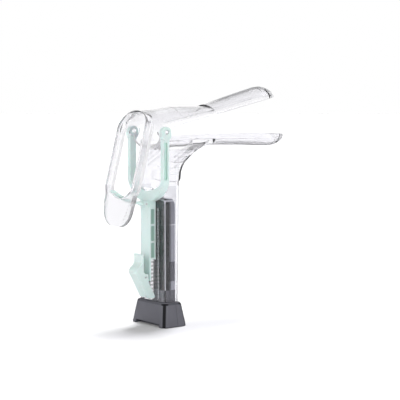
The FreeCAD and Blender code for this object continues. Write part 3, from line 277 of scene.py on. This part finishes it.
def edgeMaskGroup():
    # how close a point lies to a rounded edge, broken up so that the line isn't even; on the clear blades
    # this mask carries painted shade
    group, given = newGroup("edgeMask", [("Width", numberSocket, 0.0005), ("Break Up", numberSocket, 0.4)],
                            [("Mask", numberSocket)])
    soft = addNode(group, "ShaderNodeBevel", Radius=given["Width"])
    soft.samples = 6
    flat = addNode(group, "ShaderNodeNewGeometry")
    turn = addNode(group, "ShaderNodeVectorMath")
    turn.operation = "DOT_PRODUCT"
    feed(group, turn.inputs[0], soft.outputs["Normal"])
    feed(group, turn.inputs[1], flat.outputs["Normal"])
    near = rangeNode(group, turn.outputs["Value"], (0.995, 0.80))
    place = addNode(group, "ShaderNodeTexCoord").outputs["Object"]
    breakNoise = noiseNode(group, place, Scale=420.0, Detail=4.0)
    breakShare = mathNode(group, "MULTIPLY", breakNoise, given["Break Up"])
    mask = mathNode(group, "MULTIPLY", near, mathNode(group, "SUBTRACT", 1.0, breakShare), clamp=True)
    return closeGroup(group, Mask=mask)


def mouldedPlasticGroup():
    # flow shades and fine tooth of moulded plastic, with a few rubbed patches
    group, given = newGroup(
        "mouldedPlastic",
        [("Colour", colourSocket, grey(0.5)), ("Flow Colour", colourSocket, grey(0.4)),
         ("Flow", numberSocket, 0.5), ("Flow Scale", numberSocket, 45.0), ("Roughness", numberSocket, 0.4),
         ("Tooth Scale", numberSocket, 2200.0), ("Rubbed", numberSocket, 0.1)],
        [("Colour", colourSocket), ("Roughness", numberSocket), ("Height", numberSocket)])
    place = addNode(group, "ShaderNodeTexCoord").outputs["Object"]
    flow = noiseNode(group, place, Scale=given["Flow Scale"], Detail=3.0, Roughness=0.55, Distortion=0.8)
    flowShare = mathNode(group, "MULTIPLY", rangeNode(group, flow, (0.35, 0.68)), given["Flow"], clamp=True)
    shade = blendColour(group, given["Colour"], given["Flow Colour"], flowShare)
    tooth = noiseNode(group, place, Scale=given["Tooth Scale"], Detail=2.0, Roughness=0.6)
    patches = noiseNode(group, place, Scale=160.0, Detail=5.0, Roughness=0.7)
    rubbed = mathNode(group, "MULTIPLY", rangeNode(group, patches, (0.5, 0.75)), given["Rubbed"])
    shift = mathNode(group, "MULTIPLY_ADD", tooth, 0.14, -0.07)     # the tooth moves the roughness both ways
    toothed = mathNode(group, "ADD", given["Roughness"], shift)
    rough = mathNode(group, "SUBTRACT", toothed, rubbed, clamp=True)
    height = mathNode(group, "MULTIPLY_ADD", flow, 0.35, tooth)
    return closeGroup(group, Colour=shade, Roughness=rough, Height=height)


def cornerMaskGroup():
    # rounded corners and chamfers, whose faces lie between the main directions
    group, given = newGroup("cornerMask", [("Flat", numberSocket, 0.965), ("Turned", numberSocket, 0.86)],
                            [("Mask", numberSocket)])
    normal = addNode(group, "ShaderNodeTexCoord").outputs["Normal"]
    parts = addNode(group, "ShaderNodeSeparateXYZ", Vector=normal).outputs
    across, along, up = [mathNode(group, "ABSOLUTE", part) for part in parts]
    main = mathNode(group, "MAXIMUM", mathNode(group, "MAXIMUM", across, along), up)
    mask = rangeNode(group, main, (given["Flat"], given["Turned"]), smooth=True)
    return closeGroup(group, Mask=mask)


def creviceShadeGroup():
    # how far a point lies into a recess, where painted shade gathers
    group, given = newGroup("creviceShade", [("Reach", numberSocket, 0.006), ("Depth", numberSocket, 1.0)],
                            [("Mask", numberSocket)])
    hollow = addNode(group, "ShaderNodeAmbientOcclusion", Distance=given["Reach"])
    hollow.samples = 8
    hollow.only_local = True
    dark = mathNode(group, "SUBTRACT", 1.0, hollow.outputs["AO"])
    mask = mathNode(group, "MULTIPLY", rangeNode(group, dark, (0.15, 0.8)), given["Depth"], clamp=True)
    return closeGroup(group, Mask=mask)


def clearMouldingGroup():
    # the slow ripple of a clear moulding, and hair scratches
    group, given = newGroup(
        "clearMoulding",
        [("Ripple Scale", numberSocket, 70.0), ("Scratches", numberSocket, 0.3),
         ("Roughness", numberSocket, 0.02)],
        [("Height", numberSocket), ("Roughness", numberSocket)])
    place = addNode(group, "ShaderNodeTexCoord").outputs["Object"]
    ripple = noiseNode(group, place, Scale=given["Ripple Scale"], Detail=1.0, Distortion=0.4)
    drawn = addNode(group, "ShaderNodeMapping", Vector=place, Rotation=(0.5, 0.9, 0.3), Scale=(60, 900, 900))
    hair = noiseNode(group, drawn.outputs["Vector"], Scale=2.0, Detail=2.0)
    marks = mathNode(group, "MULTIPLY", rangeNode(group, hair, (0.66, 0.78)), given["Scratches"])
    height = mathNode(group, "SUBTRACT", ripple, marks)
    rough = mathNode(group, "MULTIPLY_ADD", marks, 0.25, given["Roughness"])
    return closeGroup(group, Height=height, Roughness=rough)


edgeMask = edgeMaskGroup()
mouldedPlastic = mouldedPlasticGroup()
cornerMask = cornerMaskGroup()
creviceShade = creviceShadeGroup()
clearMoulding = clearMouldingGroup()
print("shader groups ready")


def placeGroup(tree, group, **inputs):
    node = addNode(tree, "ShaderNodeGroup")
    node.node_tree = group
    for name, value in inputs.items():
        feed(tree, node.inputs[name.replace("_", " ")], value)
    return node.outputs


def past(tree, source, level):
    return mathNode(tree, "GREATER_THAN", source, level)


def before(tree, source, level):
    return mathNode(tree, "LESS_THAN", source, level)


def allOf(tree, first, *others):
    for mask in others:
        first = mathNode(tree, "MULTIPLY", first, mask)
    return first


def anyOf(tree, first, *others):
    for mask in others:
        first = mathNode(tree, "MAXIMUM", first, mask)
    return first


def within(tree, source, span):
    return allOf(tree, past(tree, source, span[0]), before(tree, source, span[1]))


def openTree(name):
    material = bpy.data.materials.new(name)
    return material, emptyTree(material)


def closeTree(tree, surface):
    addNode(tree, "ShaderNodeOutputMaterial", Surface=surface)
    arrange(tree)


def passLight(tree, glass, shadow):
    # lamps shine through clear plastic and leave only a faint shadow
    film = addNode(tree, "ShaderNodeBsdfTransparent", Color=shadow).outputs[0]
    shadowRay = addNode(tree, "ShaderNodeLightPath").outputs["Is Shadow Ray"]
    return mixShaders(tree, shadowRay, glass, film)


def dress(material, *names):
    for name in names:
        piece = nodes[name]
        piece.data.materials.clear()
        piece.data.materials.append(material)


# spans and places are in metres, turns are parts of a face's normal, and views run from 0 on a face seen
# square on to 1 on one seen along its surface
acrylic = {
    "tint": (0.957, 0.954, 0.972, 1),
    "satinTint": (0.937, 0.934, 0.952, 1),
    "wall": (0.80, 0.80, 0.825, 1),             # painted shade on the handle's side walls
    "edge": (0.52, 0.52, 0.55, 1),              # painted shade along the edges of the blades, the neck and the handle's rail
    "rearEdge": (0.93, 0.93, 0.95, 1),          # fainter painted shade along every other edge
    "edgeWidth": 0.0007,
    "edgeBreak": 0.4,
    "clearness": 0.99,                          # the rest scatters, as the milky bloom of a moulding does
    "ior": 1.47,
    "roughness": 0.015,
    "satin": 0.22,                              # roughness that the satin finish adds
    "satinSpan": (-0.006, -0.0125),             # X: the lever and the rims behind it have that finish
    "scratches": 0.25,
    "ripple": 0.00008,
    "shadow": (0.86, 0.86, 0.88, 1),
    "handleTop": 0.118,
    "wallInside": 0.0166,
    "railSpan": (-0.0125, -0.004),
    # painted shade as dark outlines, where a wall is seen along its length
    "contour": (0.035, 0.035, 0.048, 1),
    "bladeSpan": (0.003, 0.022),                # X: they come in from the hinge to the blades
    "neckSpan": (0.118, 0.126),                 # Z: and from the handle up to the neck
    "grazedView": (0.68, 0.93),
    "ridgeTurn": (0.60, 0.82),                  # faces that look up or down keep their line on the hood too
    "ridgeView": (0.58, 0.84),
    "hoodFloor": 0.155,
    "hoodEnd": 0.064,
    "hoodFade": 0.012,
    "hoodShare": 0.3,
    "crestFloor": 0.163,                        # the upper blade's crest, which shows a wider painted dark line
    "crestTurn": 0.72,
    "crestView": (0.53, 0.72),
    # painted highlights on the moulding's rear rim, its front corners and its teeth, given as glow though the
    # plastic is no lamp
    "glow": (0.45, 0.45, 0.46, 1),
    "rimSpan": (-0.0150, -0.0112),
    "rimTurn": -0.55,
    "cornerStart": 0.0060,
    "cornerInside": 0.0150,
    "cornerShare": 0.45,
    "teethSpan": (-0.0125, -0.0075),
    "teethInside": 0.0052,
    "toothPitch": 0.0032,
    "toothWave": (-0.7, 0.9),
    "toothShare": (0.12, 0.62),
}


def acrylicContour(tree, values, x, z, turnUp):
    # painted shade as dark outlines, which are fainter on the hood between arch and upper blade
    view = addNode(tree, "ShaderNodeLayerWeight", Blend=0.5).outputs["Facing"]
    offHood = anyOf(tree, before(tree, z, values["hoodFloor"]), past(tree, x, values["hoodEnd"]))
    outline = allOf(tree, rangeNode(tree, view, values["grazedView"]), offHood)
    steep = rangeNode(tree, mathNode(tree, "ABSOLUTE", turnUp), values["ridgeTurn"])
    ridge = allOf(tree, steep, rangeNode(tree, view, values["ridgeView"]))
    onCrest = allOf(tree, past(tree, z, values["crestFloor"]), past(tree, turnUp, values["crestTurn"]))
    crest = allOf(tree, rangeNode(tree, view, values["crestView"]), onCrest)
    hoodSpan = (values["hoodEnd"] - values["hoodFade"], values["hoodEnd"])
    ahead = rangeNode(tree, x, hoodSpan, (values["hoodShare"], 1.0))
    return anyOf(tree, outline, allOf(tree, anyOf(tree, ridge, crest), ahead))


def acrylicPaintedGlow(tree, values, x, z, aside, turnAlong, onHandle):
    # painted highlights that glow on the trough's rear rim, the handle's front corners and the rail's teeth
    onRim = allOf(tree, within(tree, x, values["rimSpan"]), past(tree, z, values["handleTop"]))
    rim = allOf(tree, before(tree, turnAlong, values["rimTurn"]), onRim)
    atCorner = allOf(tree, past(tree, aside, values["cornerInside"]), past(tree, x, values["cornerStart"]))
    corner = allOf(tree, atCorner, onHandle, values["cornerShare"])
    onTeeth = allOf(tree, before(tree, aside, values["teethInside"]), within(tree, x, values["teethSpan"]))
    wave = mathNode(tree, "SINE", mathNode(tree, "MULTIPLY", z, 2 * math.pi / values["toothPitch"]))
    glint = rangeNode(tree, wave, values["toothWave"], values["toothShare"])
    return anyOf(tree, rim, corner, allOf(tree, onTeeth, onHandle, glint))


def acrylicMaterial(values):
    material, tree = openTree("clearAcrylic")
    coordinates = addNode(tree, "ShaderNodeTexCoord").outputs
    x, y, z = addNode(tree, "ShaderNodeSeparateXYZ", Vector=coordinates["Object"]).outputs
    turn = addNode(tree, "ShaderNodeSeparateXYZ", Vector=coordinates["Normal"]).outputs
    aside = mathNode(tree, "ABSOLUTE", y)
    onHandle = before(tree, z, values["handleTop"])
    onBlades = allOf(tree, rangeNode(tree, x, values["bladeSpan"]), rangeNode(tree, z, values["neckSpan"]))
    satinShare = rangeNode(tree, x, values["satinSpan"])

    shade = blendColour(tree, values["tint"], values["satinTint"], satinShare)
    # painted shade: the handle's side walls are darkened
    onWall = allOf(tree, past(tree, aside, values["wallInside"]), onHandle)
    shade = blendColour(tree, shade, values["wall"], onWall)
    # painted shade along the clear plastic's rounded edges
    rims = placeGroup(tree, edgeMask, Width=values["edgeWidth"], Break_Up=values["edgeBreak"])
    firm = anyOf(tree, onBlades, allOf(tree, onHandle, within(tree, x, values["railSpan"])))
    rimShade = blendColour(tree, values["rearEdge"], values["edge"], firm)
    shade = blendColour(tree, shade, rimShade, rims["Mask"])
    # painted shade: the dark outlines darken the base colour
    contour = allOf(tree, acrylicContour(tree, values, x, z, turn["Z"]), onBlades)
    shade = blendColour(tree, shade, values["contour"], contour)

    # painted highlights and glints, emitted by the plastic
    light = acrylicPaintedGlow(tree, values, x, z, aside, turn["X"], onHandle)
    skin = placeGroup(tree, clearMoulding, Roughness=values["roughness"], Scratches=values["scratches"])
    rough = mathNode(tree, "MULTIPLY_ADD", satinShare, values["satin"], skin["Roughness"])
    bump = addNode(tree, "ShaderNodeBump", Strength=1.0, Distance=values["ripple"], Height=skin["Height"])
    glass = addNode(tree, "ShaderNodeBsdfPrincipled", Base_Color=shade, IOR=values["ior"], Roughness=rough,
                    Transmission_Weight=values["clearness"], Normal=bump.outputs["Normal"],
                    Emission_Color=blendColour(tree, grey(0.0), values["glow"], light), Emission_Strength=1.0)
    closeTree(tree, passLight(tree, glass.outputs[0], values["shadow"]))
    return material


mint = {
    "colour": (0.635, 0.745, 0.728, 1),
    "flowColour": (0.60, 0.728, 0.70, 1),
    "flow": 0.7,
    "rubbed": 0.12,
    "deep": (0.32, 0.62, 0.50, 1),      # painted shade in windows and gaps
    "deepReach": 0.006,
    "deepShare": 0.60,
    "edge": (0.71, 0.81, 0.79, 1),
    "edgeWidth": 0.0004,
    "edgeBreak": 0.7,
    "roughness": 0.36,
    "relief": 0.00006,
    "glowThrough": 0.25,                # share of light that passes under the surface
}


def mintMaterial(values):
    material, tree = openTree("mintMoulding")
    skin = placeGroup(tree, mouldedPlastic, Colour=values["colour"], Flow_Colour=values["flowColour"],
                      Flow=values["flow"], Roughness=values["roughness"], Rubbed=values["rubbed"])
    gaps = placeGroup(tree, creviceShade, Reach=values["deepReach"], Depth=values["deepShare"])
    rims = placeGroup(tree, edgeMask, Width=values["edgeWidth"], Break_Up=values["edgeBreak"])
    # painted shade: a deeper green in windows and gaps
    shade = blendColour(tree, skin["Colour"], values["deep"], gaps["Mask"])
    shade = blendColour(tree, shade, values["edge"], rims["Mask"])
    bump = addNode(tree, "ShaderNodeBump", Strength=0.35, Distance=values["relief"], Height=skin["Height"])
    body = addNode(tree, "ShaderNodeBsdfPrincipled", Base_Color=shade, Roughness=skin["Roughness"],
                   Normal=bump.outputs["Normal"], Subsurface_Weight=values["glowThrough"],
                   Subsurface_Radius=(0.4, 1.0, 0.8), Subsurface_Scale=0.002)
    closeTree(tree, body.outputs[0])
    return material


housing = {
    "foot": (0.138, 0.138, 0.158, 1),
    "footTop": 0.0305,
    # painted reflection: the foot's rounded corners are laid near black
    "footCornerDarkReflection": (0.008, 0.008, 0.010, 1),
    "footCornerTurn": (0.93, 0.82),     # largest part of a face's normal, on the flats and at the corner
    "front": (0.47, 0.467, 0.52, 1),
    "frontSpan": (-0.0020, 0.0014),     # X: the tower turns from painted shade behind to pale here
    # painted shade behind the tower
    "rear": (0.003, 0.003, 0.004, 1),
    # painted highlight on the tower's rounded edges
    "towerEdgeHighlight": (0.78, 0.78, 0.82, 1),
    "towerEdgeTurn": (0.84, 0.765),
    "band": (0.15, 0.15, 0.175, 1),
    "bandSpan": (0.038, 0.0545),
    "head": (0.33, 0.33, 0.37, 1),
    "paintedJointHighlight": (0.80, 0.80, 0.84, 1),     # painted highlight: pale line under the head
    "jointAt": 0.0855,
    "jointWidth": 0.0010,
    "flow": 0.35,
    "flowShade": 0.75,
    "toothScale": 1500.0,
    "rubbed": 0.10,
    "roughness": 0.46,
    "shine": 0.15,
    "relief": 0.00010,
}


def housingMaterial(values):
    # a grey foot, and on it a tower that is lavender grey in front and painted near black behind, as painted
    # shade
    material, tree = openTree("lampHousing")
    place = addNode(tree, "ShaderNodeTexCoord").outputs["Object"]
    parts = addNode(tree, "ShaderNodeSeparateXYZ", Vector=place).outputs
    x, z = parts["X"], parts["Z"]
    tower = past(tree, z, values["footTop"])
    paintedJointHighlight = mathNode(tree, "COMPARE", z, values["jointAt"], values["jointWidth"] / 2)
    shade = blendColour(tree, values["front"], values["band"], within(tree, z, values["bandSpan"]))
    shade = blendColour(tree, shade, values["head"], past(tree, z, values["jointAt"]))
    # painted highlight along the seam under the head
    shade = blendColour(tree, shade, values["paintedJointHighlight"], paintedJointHighlight)
    # painted shade: the tower's rear is laid near black
    shade = blendColour(tree, values["rear"], shade, rangeNode(tree, x, values["frontSpan"], smooth=True))
    shade = blendColour(tree, values["foot"], shade, tower)
    flowShade = blendColour(tree, shade, grey(values["flowShade"]), 1.0, blend="MULTIPLY")
    skin = placeGroup(tree, mouldedPlastic, Colour=shade, Flow_Colour=flowShade, Flow=values["flow"],
                      Roughness=values["roughness"], Tooth_Scale=values["toothScale"],
                      Rubbed=values["rubbed"])
    # painted reflection: near black on the foot's rounded corners
    flat, turned = values["footCornerTurn"]
    corners = placeGroup(tree, cornerMask, Flat=flat, Turned=turned)
    onFoot = mathNode(tree, "SUBTRACT", 1.0, tower)
    edged = blendColour(tree, skin["Colour"], values["footCornerDarkReflection"], allOf(tree, corners["Mask"], onFoot))
    # painted highlight on the tower's rounded edges
    flat, turned = values["towerEdgeTurn"]
    ridges = placeGroup(tree, cornerMask, Flat=flat, Turned=turned)
    edged = blendColour(tree, edged, values["towerEdgeHighlight"], allOf(tree, ridges["Mask"], tower))
    bump = addNode(tree, "ShaderNodeBump", Strength=0.5, Distance=values["relief"], Height=skin["Height"])
    body = addNode(tree, "ShaderNodeBsdfPrincipled", Base_Color=edged, Roughness=skin["Roughness"],
                   Normal=bump.outputs["Normal"], Specular_IOR_Level=values["shine"])
    closeTree(tree, body.outputs[0])
    return material


# what the other moulded or stamped pieces share, unless their own finish says otherwise
smallPiece = {
    "flow": 0.6,
    "flowScale": 120.0,
    "toothScale": 1800.0,
    "rubbed": 0.1,
    "edgeWidth": 0.0003,
    "edgeBreak": 0.6,
    "relief": 0.00005,
    "metallic": 0.0,
}

smallFinishes = {
    "footPlate": {
        "pieces": ("foot_plate",), "shade": (0.05, 0.05, 0.057, 1), "flowShade": (0.035, 0.035, 0.04, 1),
        "edge": (0.05, 0.05, 0.057, 1), "roughness": 0.55,
    },
    "buttonRubber": {
        "pieces": ("power_button",), "shade": (0.20, 0.20, 0.225, 1), "flowShade": (0.17, 0.17, 0.19, 1),
        "edge": (0.30, 0.30, 0.33, 1), "roughness": 0.62, "toothScale": 3000.0,
    },
    "pinSteel": {
        "pieces": ("trigger_pin", "tilt_ratchet_pin"), "shade": (0.62, 0.62, 0.63, 1),
        "flowShade": (0.50, 0.50, 0.52, 1), "edge": (0.8, 0.8, 0.8, 1), "roughness": 0.30, "metallic": 1.0,
    },
    "cellSleeve": {
        "pieces": ("battery_left", "battery_middle", "battery_right"), "shade": (0.06, 0.10, 0.16, 1),
        "flowShade": (0.05, 0.08, 0.13, 1), "edge": (0.45, 0.45, 0.46, 1), "roughness": 0.33,
    },
    "contactNickel": {
        "pieces": ("top_contact", "bottom_contact"), "shade": (0.66, 0.63, 0.56, 1),
        "flowShade": (0.55, 0.52, 0.46, 1), "edge": (0.8, 0.78, 0.72, 1), "roughness": 0.28, "metallic": 1.0,
    },
    "boardMask": {
        "pieces": ("circuit_board", "led_board"), "shade": (0.02, 0.16, 0.07, 1),
        "flowShade": (0.015, 0.12, 0.05, 1), "edge": (0.55, 0.42, 0.2, 1), "roughness": 0.35,
    },
    "emitterPhosphor": {
        "pieces": ("led_emitter",), "shade": (0.85, 0.72, 0.25, 1), "flowShade": (0.80, 0.66, 0.2, 1),
        "edge": (0.9, 0.9, 0.88, 1), "roughness": 0.45,
    },
    "switchCase": {
        "pieces": ("tact_switch",), "shade": (0.10, 0.10, 0.105, 1), "flowShade": (0.07, 0.07, 0.075, 1),
        "edge": (0.5, 0.5, 0.5, 1), "roughness": 0.4,
    },
}


def smallMaterial(name, finish):
    values = {**smallPiece, **finish}
    material, tree = openTree(name)
    skin = placeGroup(tree, mouldedPlastic, Colour=values["shade"], Flow_Colour=values["flowShade"],
                      Flow=values["flow"], Flow_Scale=values["flowScale"], Roughness=values["roughness"],
                      Tooth_Scale=values["toothScale"], Rubbed=values["rubbed"])
    rims = placeGroup(tree, edgeMask, Width=values["edgeWidth"], Break_Up=values["edgeBreak"])
    edged = blendColour(tree, skin["Colour"], values["edge"], rims["Mask"])
    bump = addNode(tree, "ShaderNodeBump", Strength=0.5, Distance=values["relief"], Height=skin["Height"])
    body = addNode(tree, "ShaderNodeBsdfPrincipled", Base_Color=edged, Roughness=skin["Roughness"],
                   Metallic=values["metallic"], Normal=bump.outputs["Normal"])
    closeTree(tree, body.outputs[0])
    return material


lens = {
    "tint": (0.97, 0.97, 0.98, 1),
    "ior": 1.52,
    "roughness": 0.03,
    "rippleScale": 900.0,
    "ripple": 0.00004,
    "shadow": (0.92, 0.92, 0.92, 1),
}


def lensMaterial(values):
    material, tree = openTree("lampLens")
    skin = placeGroup(tree, clearMoulding, Ripple_Scale=values["rippleScale"], Roughness=values["roughness"])
    bump = addNode(tree, "ShaderNodeBump", Strength=0.3, Distance=values["ripple"], Height=skin["Height"])
    glass = addNode(tree, "ShaderNodeBsdfPrincipled", Base_Color=values["tint"], IOR=values["ior"],
                    Roughness=skin["Roughness"], Transmission_Weight=1.0, Normal=bump.outputs["Normal"])
    closeTree(tree, passLight(tree, glass.outputs[0], values["shadow"]))
    return material


dress(acrylicMaterial(acrylic), "lower_blade", "upper_blade")
print("clear blades dressed")
dress(mintMaterial(mint), "yoke_slide", "tilt_ratchet", "release_trigger")
print("mint slide, strap and trigger dressed")
dress(housingMaterial(housing), "housing_rear", "housing_front", "head_cap")
print("lamp housing dressed")
for name, values in smallFinishes.items():
    dress(smallMaterial(name, values), *values["pieces"])
dress(lensMaterial(lens), "led_lens")
print("button, pins and lamp inside dressed")

windowShadeSheet = {
    "rear": -0.01255,
    "front": -0.00885,
    "inside": 0.00502,
    "outside": 0.00555,
    "bottom": 0.05755,
    "tall": 0.0127,
    "pitch": 0.0142,
    "count": 3,
    "frame": 0.0004,        # flat border round the dished middle
    "dish": 0.00012,
    "edgeRound": 0.00004,
    # painted shade: a shaded copy of the mint
    "shade": (0.25, 0.385, 0.335, 1),
    "flowShade": (0.22, 0.35, 0.30, 1),
    "edge": (0.40, 0.56, 0.51, 1),
    "roughness": 0.34,
}


def makeShadeSheets(values):
    # painted shade: darker mint sheets that close the windows in the slide's cheeks
    skin = smallMaterial("shadedMintSheet", values)
    middle = ((values["rear"] + values["front"]) / 2, (values["inside"] + values["outside"]) / 2,
              values["bottom"] + values["tall"] / 2)
    size = (values["front"] - values["rear"], values["outside"] - values["inside"], values["tall"])
    for side, word in ((-1, "near"), (1, "far")):
        bpy.ops.object.select_all(action="DESELECT")
        bpy.ops.mesh.primitive_cube_add(size=1, location=(middle[0], side * middle[1], middle[2]), scale=size)
        first = bpy.context.object
        bpy.ops.object.transform_apply(location=True, rotation=True, scale=True)
        bpy.ops.object.mode_set(mode="EDIT")
        bpy.ops.mesh.select_all(action="DESELECT")
        bpy.ops.object.mode_set(mode="OBJECT")
        for face in first.data.polygons:
            face.select = face.normal.y * side > 0.9       # the face that looks outwards
        bpy.ops.object.mode_set(mode="EDIT")
        bpy.ops.mesh.select_mode(type="FACE")
        bpy.ops.mesh.inset(thickness=values["frame"])
        bpy.ops.transform.translate(value=(0, -side * values["dish"], 0))
        bpy.ops.mesh.select_all(action="SELECT")
        bpy.ops.mesh.bevel(offset=values["edgeRound"], segments=2)
        bpy.ops.object.mode_set(mode="OBJECT")
        bpy.ops.object.shade_smooth_by_angle(angle=math.radians(35))
        first.data.materials.append(skin)
        sheets = [first]
        for step in range(1, values["count"]):
            sheet = bpy.data.objects.new("sheet", first.data.copy())
            sheet.data.transform(Matrix.Translation((0, 0, step * values["pitch"])))
            bpy.context.scene.collection.objects.link(sheet)
            sheets.append(sheet)
        for row, sheet in enumerate(sheets, 1):
            sheet.name = "windowShadeSheet_" + word + "_" + str(row)
            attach(sheet, "yoke")


makeShadeSheets(windowShadeSheet)
print("window webs in")
